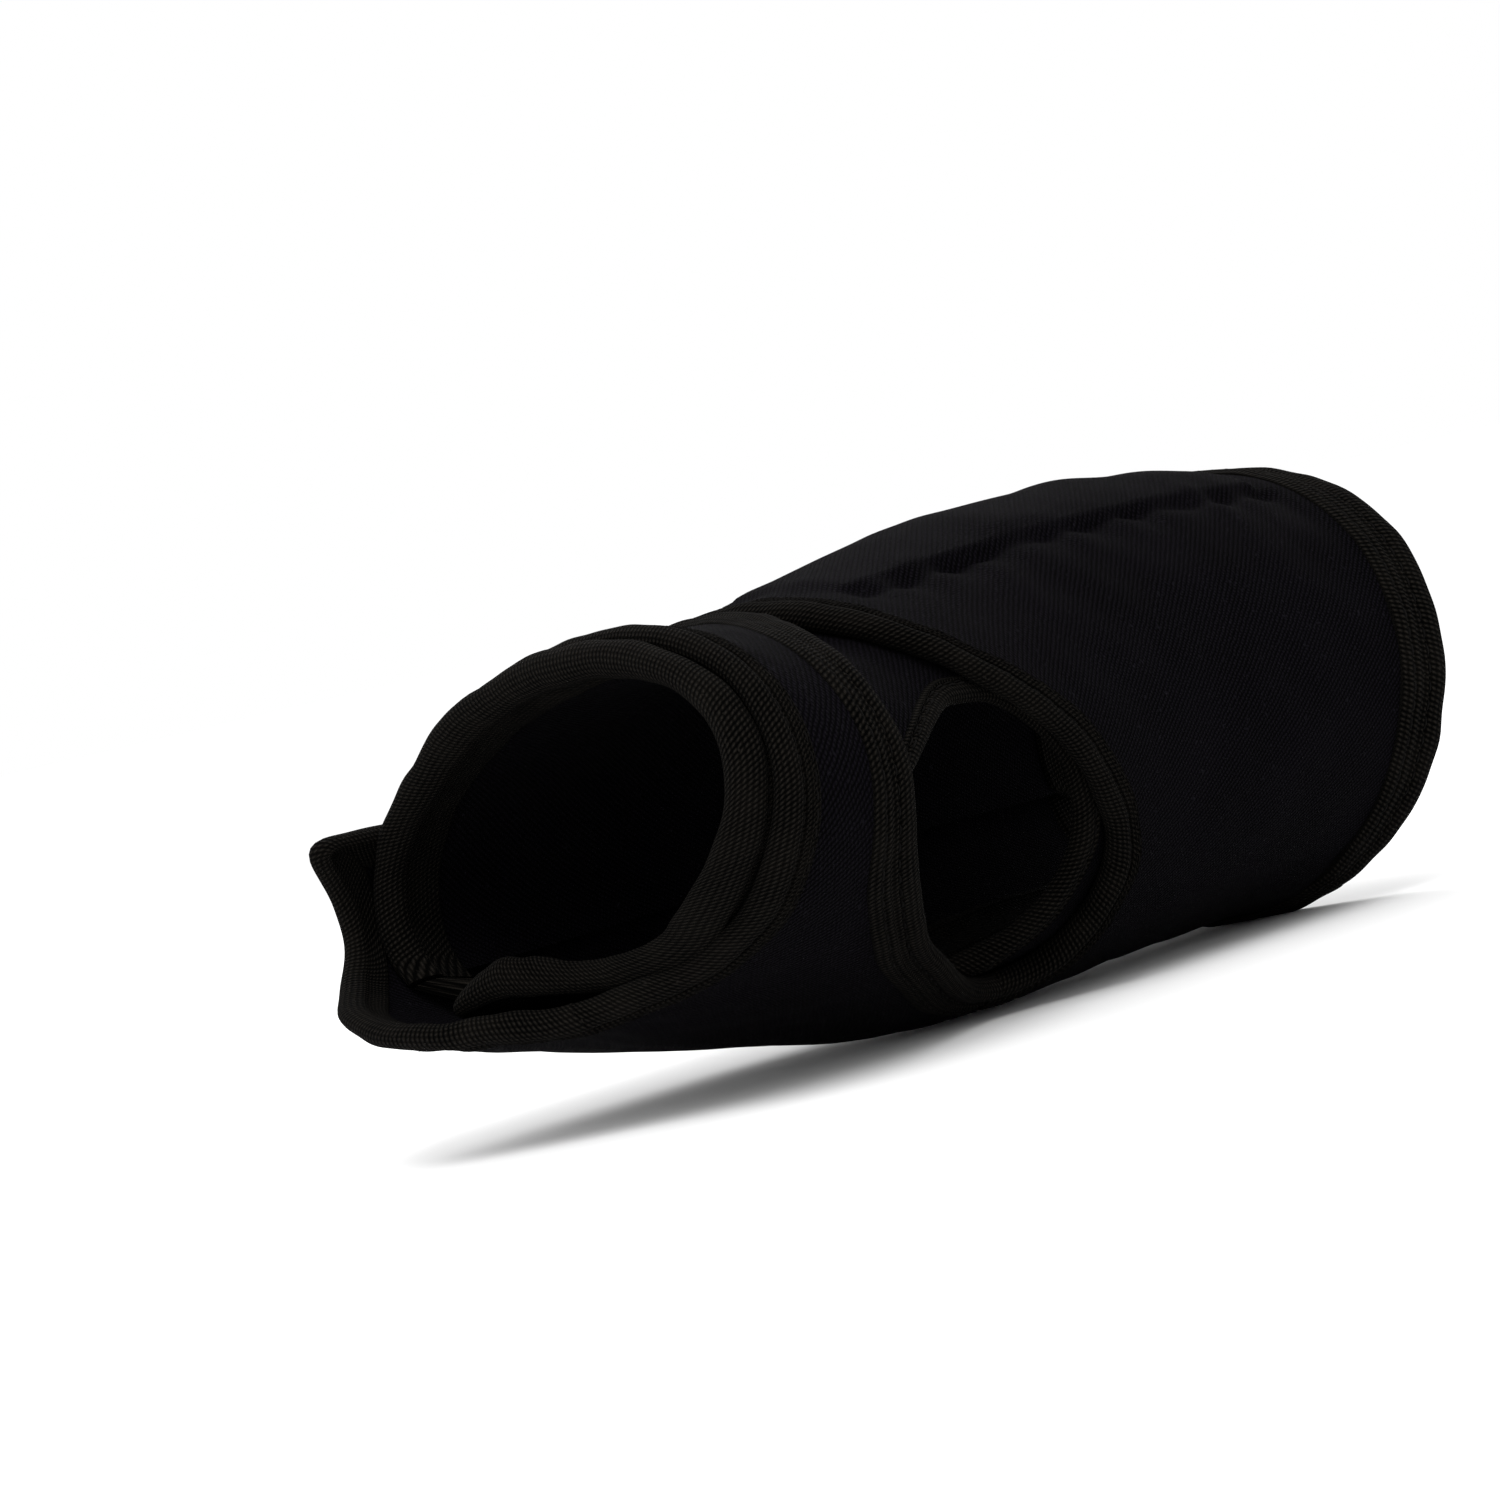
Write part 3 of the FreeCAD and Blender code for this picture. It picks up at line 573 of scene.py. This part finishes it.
def tape(name, path, side, middle, form=OUTER_TAPE, lift=None, broad=None, cuts=(), seed=1,
         ends=True):
    """Closed tapes along a path, one for each stretch between the cuts, and their stitches.

    lift(x, polar) is how far the tape stands off its middle height, and broad(x, polar) is how
    broad it is there, as a share of its form's width.
    """
    path, run = spaced(path, step=1.0, height=middle)
    inward_step, kept = tape_frame(path, middle, side, form[0])
    if broad:
        kept = kept * broad(*path.T)
    profile = tape_profile(*form)
    waver = 0.2 * ripple(run, 0 * run, size=23, seed=seed)
    plump = (1 + 0.06 * ripple(run, 0 * run, size=9, seed=seed + 1)
             + 0.05 * ripple(run, 0 * run, size=31, seed=seed + 2))

    def surface(index, inward, up):
        shift = np.where(inward > 0, inward * kept[index], inward) + waver[index]
        x = path[index, 0] + shift * inward_step[index, 0]
        polar = path[index, 1] + shift * inward_step[index, 1]
        raised = lift(x, polar) if lift else 0
        return place(x, polar, middle + raised + up * plump[index])

    bounds = [0, *[int(np.argmin(np.abs(path - cut).sum(1))) for cut in cuts], len(path) - 1]
    span = np.concatenate([[0], np.cumsum(np.linalg.norm(np.diff(profile, axis=0), axis=1))])
    past_end = np.linspace(0.5, CAP_LENGTH, 4)
    made = []
    for part, (first, last) in enumerate(zip(bounds, bounds[1:])):
        index = np.arange(first, last + 1)
        grid = surface(index[:, None], profile[None, :, 0], profile[None, :, 1])
        at_start, at_end = ends and part == 0, ends and part == len(bounds) - 2
        grid = rounded_ends(grid, at_start, at_end)
        along = [run[index]]
        if at_start:
            along.insert(0, run[first] - past_end[::-1])
        if at_end:
            along.append(run[last] + past_end)
        along = np.concatenate(along)
        count, ring = grid.shape[:2]
        number = np.arange(count * ring).reshape(count, ring)
        faces = [(number[i, j], number[i, (j + 1) % ring], number[i + 1, (j + 1) % ring],
                  number[i + 1, j]) for i in range(count - 1) for j in range(ring)]
        faces += [tuple(number[0]), tuple(reversed(number[-1]))]
        uv = np.stack(np.broadcast_arrays(along[:, None], span[None, :]), -1)
        label = name if len(bounds) == 2 else f"{name}_{part + 1}"
        band = mesh_object(label, grid.reshape(-1, 3), faces, uv.reshape(-1, 2), sharp=60)
        thread = stitches(f"{label}_thread", surface, run, first, last, form)
        made.append((band, thread))
    return made


def stitches(name, surface, run, first, last, form):
    """Two rows of short raised stitches along a tape, as one mesh."""
    pitch, length, thick, clear_end, sides = 2.6, 2.05, 0.17, 2, 6
    # Along a stitch: how thick it is there and how far it rises out of the tape.
    girth = np.array([0.35, 0.9, 1, 0.9, 0.35])
    rise = np.array([-0.22, 0.02, 0.08, 0.02, -0.22])
    width, groove_at = form[0], form[2]
    points, faces, uv = [], [], []
    starts = np.arange(run[first] + clear_end, run[last] - clear_end - length, pitch)
    spots = starts[:, None] + length * np.linspace(0, 1, len(girth))
    spots = np.interp(spots, run, np.arange(len(run)))
    low = np.clip(np.floor(spots).astype(int), first, last - 1)
    part = (spots - low)[..., None]
    for inward, up in ((groove_at, 1.42), (width - 1.6, 1.68)):
        sections = []
        for turn in 2 * math.pi * np.arange(sides) / sides:
            across = inward + thick * math.cos(turn) * girth
            over = up + rise + thick * math.sin(turn) * girth
            sections.append(surface(low, across, over) * (1 - part)
                            + surface(low + 1, across, over) * part)
        block = np.stack(sections, 2)
        count = block.size // 3
        number = len(uv) + np.arange(count).reshape(block.shape[:3])
        for stitch in number:
            for near, far in zip(stitch, stitch[1:]):
                for k in range(sides):
                    after = (k + 1) % sides
                    faces.append((near[k], near[after], far[after], far[k]))
            faces.append(tuple(stitch[0]))
            faces.append(tuple(reversed(stitch[-1])))
        points.append(block.reshape(-1, 3))
        uv += [(run[first], inward)] * count
    return mesh_object(name, np.concatenate(points), faces, uv, sharp=80)


# ---------------------------------------------------------------- materials
def colour(red, green, blue):
    """A colour for a node's socket, from the linear values."""
    return red, green, blue, 1


class Nodes:
    """Short names for building one material's nodes."""

    def __init__(self, name):
        self.material = bpy.data.materials.new(name)
        self.material.use_nodes = True
        self.tree = self.material.node_tree
        self.shader = self.tree.nodes["Principled BSDF"]

    def add(self, kind, inputs=None, **settings):
        """A node with its settings and its inputs, each a value or another node's output."""
        node = self.tree.nodes.new(f"ShaderNode{kind}")
        for key, value in settings.items():
            setattr(node, key, value)
        for key, value in (inputs or {}).items():
            if isinstance(value, bpy.types.NodeSocket):
                self.tree.links.new(value, node.inputs[key])
            else:
                node.inputs[key].default_value = value
        return node

    def maths(self, operation, first, second):
        """One arithmetic step."""
        node = self.add("Math", {0: first, 1: second}, operation=operation)
        return node.outputs[0]

    def on_cloth(self):
        """The cloth coordinate, in metres along the surface."""
        return self.add("UVMap", uv_map="cloth").outputs["UV"]

    def in_object(self):
        """The object's own coordinate, in metres."""
        return self.add("TexCoord").outputs["Object"]

    def waves(self, where, pitch, turn, distortion):
        """Ridges a pitch apart, in metres, at an angle in degrees."""
        turned = self.add("Mapping", {"Vector": where, "Rotation": (0, 0, math.radians(turn))})
        wave = self.add("TexWave", {
            "Vector": turned.outputs[0], "Scale": math.pi / (10 * pitch),
            "Distortion": distortion, "Detail": 1.0, "Detail Scale": 2.0}, wave_type="BANDS")
        return wave.outputs["Fac"]

    def noise(self, where, size, detail=3.0):
        """Noise whose bumps are about size metres across."""
        node = self.add("TexNoise", {"Vector": where, "Scale": 1 / size, "Detail": detail})
        return node.outputs["Fac"]

    def mix(self, share, first, second):
        """A colour between two."""
        node = self.add("Mix", {0: share, 6: first, 7: second}, data_type="RGBA")
        return node.outputs[2]

    def stretch(self, value, low, high, to_low=0.0, to_high=1.0):
        """A value moved from one range to another and held there."""
        node = self.add("MapRange", {
            "Value": value, "From Min": low, "From Max": high, "To Min": to_low,
            "To Max": to_high}, clamp=True)
        return node.outputs["Result"]

    def finish(self, base, height, depth, rough, sheen):
        """Links colour and relief to the shader and sets its even values."""
        bump = self.add("Bump", {"Height": height, "Distance": depth, "Strength": 1.0})
        self.tree.links.new(bump.outputs[0], self.shader.inputs["Normal"])
        self.tree.links.new(base, self.shader.inputs["Base Color"])
        self.shader.inputs["Roughness"].default_value = rough
        self.shader.inputs["Sheen Weight"].default_value = sheen
        self.shader.inputs["Sheen Roughness"].default_value = 0.45
        self.shader.inputs["Specular IOR Level"].default_value = 0.012
        return self.material


def knit_material(name, dark, light, fuzz):
    """Fine slanting ribs of the laminate's knitted face, with painted shade in the grooves between
    them.
    """
    n = Nodes(name)
    where = n.on_cloth()
    ribs = n.waves(where, pitch=0.0007, turn=52, distortion=1.8)
    loops = n.waves(where, pitch=0.00056, turn=-31, distortion=1.5)
    weave = n.maths("MULTIPLY", ribs, n.stretch(loops, 0, 1, 0.35, 1))
    fibre = n.noise(where, size=0.0004)
    height = n.maths("ADD", weave, n.maths("MULTIPLY", fibre, 0.7))
    patches = n.stretch(n.noise(where, size=0.016), 0.35, 0.65)
    lint = n.stretch(n.noise(where, size=0.0011, detail=1.0), 0.68, 0.78)
    # The colour follows the weave's height: painted shade makes the grooves near-black, and the rib
    # tops keep the knit's own dark tone.
    share = n.maths("ADD", n.maths("MULTIPLY", n.stretch(height, 0.4, 1.35), 0.85),
                    n.maths("MULTIPLY", patches, 0.12))
    base = n.mix(share, colour(*dark), colour(*light))
    base = n.mix(n.maths("MULTIPLY", lint, 0.35), base, colour(*fuzz))
    return n.finish(base, height, depth=0.0003, rough=0.92, sheen=0.004)


def tape_material(name, dark, light, fuzz):
    """Knitted edge tape: small slanting loops in rows along its length, with painted shade between
    the loops.
    """
    n = Nodes(name)
    where = n.on_cloth()
    rows_along = n.waves(where, pitch=0.00078, turn=90, distortion=0.3)
    loops = n.waves(where, pitch=0.00068, turn=24, distortion=0.8)
    braid = n.maths("MULTIPLY", n.stretch(rows_along, 0, 1, 0.25, 1), loops)
    fibre = n.noise(where, size=0.00035)
    height = n.maths("ADD", braid, n.maths("MULTIPLY", fibre, 0.55))
    worn = n.stretch(n.noise(where, size=0.007), 0.4, 0.7)
    # The colour follows the braid's height: painted shade darkens the hollows between the loops, and
    # the loop tops keep the tape's own tone.
    share = n.maths("ADD", n.maths("MULTIPLY", n.stretch(height, 0.35, 1.2), 0.85),
                    n.maths("MULTIPLY", worn, 0.12))
    base = n.mix(share, colour(*dark), colour(*light))
    hairs = n.stretch(n.noise(where, size=0.0008, detail=1.0), 0.7, 0.8)
    base = n.mix(n.maths("MULTIPLY", hairs, 0.3), base, colour(*fuzz))
    return n.finish(base, height, depth=0.0004, rough=0.9, sheen=0.004)


def thread_material():
    """Sewing thread with its twist."""
    n = Nodes("thread")
    where = n.in_object()
    twist = n.waves(where, pitch=0.0005, turn=35, distortion=0.2)
    patches = n.noise(where, size=0.004)
    base = n.mix(patches, colour(0.002, 0.0018, 0.002), colour(0.006, 0.0055, 0.005))
    return n.finish(base, twist, depth=0.00008, rough=0.8, sheen=0.004)


def hook_material():
    """Hook tape: tiny stiff hooks, close together."""
    n = Nodes("hook_tape")
    where = n.in_object()
    cells = n.add("TexVoronoi", {"Vector": where, "Scale": 900.0}).outputs["Distance"]
    hooks = n.stretch(cells, 0.0, 0.55, 1.0, 0.0)
    base = n.mix(hooks, colour(0.0008, 0.0008, 0.0008), colour(0.009, 0.009, 0.0095))
    return n.finish(base, hooks, depth=0.0005, rough=0.5, sheen=0.0)


def brushed_material():
    """The stay's brushed aluminium."""
    n = Nodes("brushed_aluminium")
    where = n.in_object()
    drawn = n.add("Mapping", {"Vector": where, "Scale": (0.04, 1.0, 1.0)}).outputs[0]
    lines = n.noise(drawn, size=0.0003)
    base = n.mix(lines, colour(0.55, 0.55, 0.57), colour(0.72, 0.72, 0.74))
    n.shader.inputs["Metallic"].default_value = 1.0
    return n.finish(base, lines, depth=0.00002, rough=0.34, sheen=0.0)


def dipped_material():
    """The soft caps dipped over the stay's ends."""
    n = Nodes("dipped_cap")
    where = n.in_object()
    skin = n.noise(where, size=0.0012)
    base = n.mix(skin, colour(0.012, 0.012, 0.013), colour(0.03, 0.03, 0.032))
    return n.finish(base, skin, depth=0.00008, rough=0.45, sheen=0.0)


# The knit's colours: painted shade for its grooves, its own tone on the ribs, and lint.
KNIT_COLOURS = (0.0001, 0.00005, 0.00015), (0.0042, 0.0034, 0.0055), (0.012, 0.011, 0.015)
SHELL = knit_material("knit_face", *KNIT_COLOURS)
LINING = knit_material("knit_lining", *KNIT_COLOURS)
# The tape's colours: painted shade for the hollows between its loops, its own tone, and loose hairs.
TAPE = tape_material("edge_tape", (0.0002, 0.0002, 0.0002), (0.0125, 0.0108, 0.009),
                     (0.024, 0.021, 0.018))
THREAD, HOOK = thread_material(), hook_material()
STAY, CAP = brushed_material(), dipped_material()


# ---------------------------------------------------------------- the cloth pieces
WRAP, HAND_BODIES, CUFF_BODIES = ["wrap"], ["wrap", "hand_flap"], ["wrap", "cuff_flap"]


def finish_piece(piece, material, bodies, nodes=()):
    """Gives a piece its finish and hides the CAD nodes it stands for; a piece of one body is
    attached to it, one of several is left fixed where it lies.
    """
    piece.data.materials.append(material)
    if len(bodies) == 1:
        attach(piece, bodies[0])
    else:
        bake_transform(piece)
    if nodes:
        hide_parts(*nodes)


lap_to_seam, seam_to_heel = rows(LAP_EDGE + TUCKED_TURN, SHEET_SEAM), rows(SHEET_SEAM, HEEL, 1)
hand_rows, cuff_rows = rows(HEEL, HAND_END - TUCKED_TURN, 1), rows(HEEL, CUFF_END - TUCKED_TURN, 1)
palm = cloth("palm_cloth", [patch(lap_to_seam, outer_rim, at_heel, 60, palm_height),
                            patch(lap_to_seam, at_heel, cuff_rim, 70, palm_height)])
hand = cloth("hand_flap_cloth", [patch(seam_to_heel, outer_rim, at_heel, 48, hand_height),
                                 patch(hand_rows, outer_rim, hand_notch, 48, hand_flap_height)])
cuff = cloth("cuff_flap_cloth", [patch(seam_to_heel, at_heel, cuff_rim, 130, cuff_height),
                                 patch(cuff_rows, cuff_notch, cuff_rim, 130, cuff_height)],
             inner_limit=CUFF_UNDER)


def inner_grid(polar, first, last, columns):
    """A grid of the inner layer, drawn in at its free end in the palm."""
    share = np.linspace(0, 1, columns)[None, :]
    pull = ramp(-polar, 70, 118)[:, None]
    low, high = first(polar)[:, None], last(polar)[:, None]
    if first is inner_rim:
        for _ in range(25):
            angle = polar[:, None] + pull * (free_end(low) - FREE_START)
            low = 0.5 * low + 0.5 * (inner_rim(angle) + TUCKED)
    x = low * (1 - share) + high * share
    angle = polar[:, None] + pull * (free_end(x) - FREE_START)
    return x, angle, inner_height(x, angle)


hole_low, hole_high = hole_limits()
below, beside, above = (rows(FREE_START, hole_low), rows(hole_low, hole_high, 1),
                        rows(hole_high, ULNAR_END))
strips = ((below, through_thumb, through_thumb),
          (beside, lambda polar: hole_edge(polar, -1), lambda polar: hole_edge(polar, 1)),
          (above, through_thumb, through_thumb))
inner_patches = []
for polar, near_fingers, near_cuff in strips:
    inner_patches.append(inner_grid(polar, inner_rim, near_fingers, 40))
    inner_patches.append(inner_grid(polar, near_cuff, inner_cuff, 70))
inner = cloth("inner_cloth", inner_patches)

finish_piece(palm, SHELL, WRAP, ["palmar_panel"])
finish_piece(hand, SHELL, HAND_BODIES, ["hand_flap"])
finish_piece(cuff, SHELL, CUFF_BODIES, ["cuff_flap", "stay_pocket"])
finish_piece(inner, LINING, WRAP, ["inner_wrap"])


# ---------------------------------------------------------------- the edge tapes
def edge_path(edge, start, end):
    """The path, from one polar angle to another, of an edge given as x at a polar angle."""
    polar = rows(start, end, 0.5)
    return np.stack([edge(polar), polar], -1)


def cross_path(start_x, end_x, polar_at):
    """A path along the arm whose polar angle is given for each x."""
    x = np.linspace(start_x, end_x, 60)
    return np.stack([x, polar_at(x)], -1)


def corner(edge, polar):
    """The place where an edge meets a cross line."""
    return float(edge(np.array([float(polar)]))[0]), polar


def path_round(first_edge, start, turn, second_edge):
    """The path along an edge, across at the polar angle turn and back along the other edge.

    Also its two corners, as the places where the tape is cut.
    """
    corners = corner(first_edge, turn), corner(second_edge, turn)
    (first_x, _), (second_x, _) = corners
    clear = math.copysign(1, second_x - first_x)
    across = cross_path(first_x + clear, second_x - clear, lambda x: np.full(x.shape, float(turn)))
    return np.concatenate([edge_path(first_edge, start, turn), across,
                           edge_path(second_edge, turn, SHEET_SEAM)]), corners


def sewn(bands, bodies, nodes_of_parts):
    """Finishes each tape and its stitches, and gives them all in one list."""
    for (band, thread), nodes in zip(bands, nodes_of_parts):
        finish_piece(band, TAPE, bodies, nodes)
        finish_piece(thread, THREAD, bodies)
    return [made for pair in bands for made in pair]


def hand_breadth(x, polar):
    """The hand flap's tape is narrower along the rim."""
    return 0.7 + 0.3 * ramp(x, -64, -56)


def cuff_breadth(x, polar):
    """The cuff flap's tape is narrow beside the thumb and broad at the cuff."""
    to_cuff = ramp(x, 20, 60)
    return (1 - 0.35 * ramp(polar, -58, -40) * (1 - to_cuff)) * (1 + 0.25 * to_cuff)


def palm_breadth(x, polar):
    """The palm panel's tape matches the flaps' where they meet."""
    return 0.7 + 0.55 * ramp(x, 20, 60)


path, cuts = path_round(hand_notch, HEEL, HAND_END, outer_rim)
hand_tapes = sewn(
    tape("hand_tape", path, 1, OUTER_MIDDLE, lift=hand_rim_lift, broad=hand_breadth, seed=41,
         ends=False, cuts=cuts),
    HAND_BODIES,
    [["hand_thumb_binding", "palm_thumb_binding"], ["hand_end_binding"], ["hand_rim_binding"]])
path, cuts = path_round(cuff_notch, HEEL, CUFF_END, cuff_rim)
cuff_tapes = sewn(
    tape("cuff_tape", path, -1, OUTER_MIDDLE, lift=level_lift, broad=cuff_breadth, seed=51,
         ends=False, cuts=cuts),
    CUFF_BODIES, [["cuff_thumb_binding"], ["cuff_end_binding"], ["cuff_rim_binding"]])
path, cuts = path_round(outer_rim, SHEET_SEAM, LAP_EDGE, cuff_rim)
palm_tapes = sewn(
    tape("palm_tape", path, 1, OUTER_MIDDLE, lift=level_lift, broad=palm_breadth, seed=31,
         ends=False, cuts=cuts),
    WRAP, [["palm_rim_binding"], ["ulnar_edge_binding"], ["palm_cuff_binding"]])

# The inner layer's tape goes along the rim, the free end in the palm and the cuff's edge.
END_FROM, END_TO = -68, 75
from_angle, to_angle = free_end(np.array([END_FROM, END_TO]))
path = np.concatenate([edge_path(inner_rim, ULNAR_END, from_angle + 0.4),
                       cross_path(END_FROM, END_TO, free_end),
                       edge_path(inner_cuff, to_angle + 0.4, ULNAR_END)])
inner_tapes = sewn(
    tape("inner_tape", path, 1, INNER_MIDDLE, form=RIM_TAPE, lift=inner_lift, seed=71,
         cuts=[(END_FROM + 7, from_angle), (END_TO, to_angle)]),
    WRAP, [["inner_rim_binding"], ["palm_end_binding"], ["inner_cuff_binding"]])

hole_rows = np.linspace(hole_low, hole_high, 400)
fingers_side, cuff_side = (np.stack([hole_edge(hole_rows, side), hole_rows], -1) for side in (-1, 1))
path = np.concatenate([fingers_side, cuff_side[-2:0:-1], fingers_side[:1]])
hole_tapes = sewn(
    tape("thumb_hole_tape", path, 1, INNER_MIDDLE, form=HOLE_TAPE, lift=inner_lift, seed=77,
         ends=False),
    WRAP, [["thumb_hole_binding"]])

nodes = frame["nodes"]
for node, material in (("hand_hook_patch", HOOK), ("cuff_hook_patch", HOOK), ("dorsal_stay", STAY),
                       ("stay_cap_hand", CAP), ("stay_cap_cuff", CAP), ("ulnar_seam_tape", TAPE)):
    slots = nodes[node].data.materials
    slots.clear()
    slots.append(material)


# ---------------------------------------------------------------- floor and light
def make_stage(floor_z):
    """A pale floor that fades into a white surround, and soft studio light."""
    size, fade_from, fade_to = 40, 0.35, 1.6
    mesh = bpy.data.meshes.new("floor")
    mesh.from_pydata([(-size, -size, floor_z), (size, -size, floor_z), (size, size, floor_z),
                      (-size, size, floor_z)], [], [(0, 1, 2, 3)])
    floor = bpy.data.objects.new("floor", mesh)
    bpy.context.scene.collection.objects.link(floor)
    n = Nodes("floor")
    n.shader.inputs["Roughness"].default_value = 0.95
    away = n.add("VectorMath", {0: n.add("NewGeometry").outputs["Position"]}, operation="LENGTH")
    share = n.stretch(away.outputs["Value"], fade_from, fade_to)
    n.tree.links.new(n.mix(share, colour(0.86, 0.86, 0.86), colour(0, 0, 0)),
                     n.shader.inputs["Base Color"])
    n.tree.links.new(share, n.shader.inputs["Emission Strength"])
    n.shader.inputs["Emission Color"].default_value = colour(1, 1, 1)
    floor.data.materials.append(n.material)
    world = bpy.data.worlds.new("studio")
    world.use_nodes = True
    world.node_tree.nodes["Background"].inputs[0].default_value = colour(1, 1, 1)
    world.node_tree.nodes["Background"].inputs[1].default_value = 1.0
    bpy.context.scene.world = world
    for name, spot, size, power in (("key", (-0.5, -0.5, 0.9), 0.7, 9),
                                    ("fill", (-0.9, -0.1, 0.25), 0.6, 2.5),
                                    ("back", (0.5, 0.6, 0.8), 0.6, 6)):
        light = bpy.data.objects.new(name, bpy.data.lights.new(name, "AREA"))
        bpy.context.scene.collection.objects.link(light)
        light.data.size, light.data.energy = size, power
        light.location = spot
        light.rotation_euler = (-Vector(spot)).to_track_quat("-Z", "Y").to_euler()
    bpy.context.scene.view_settings.view_transform = "Standard"


make_stage(cad_low.z)
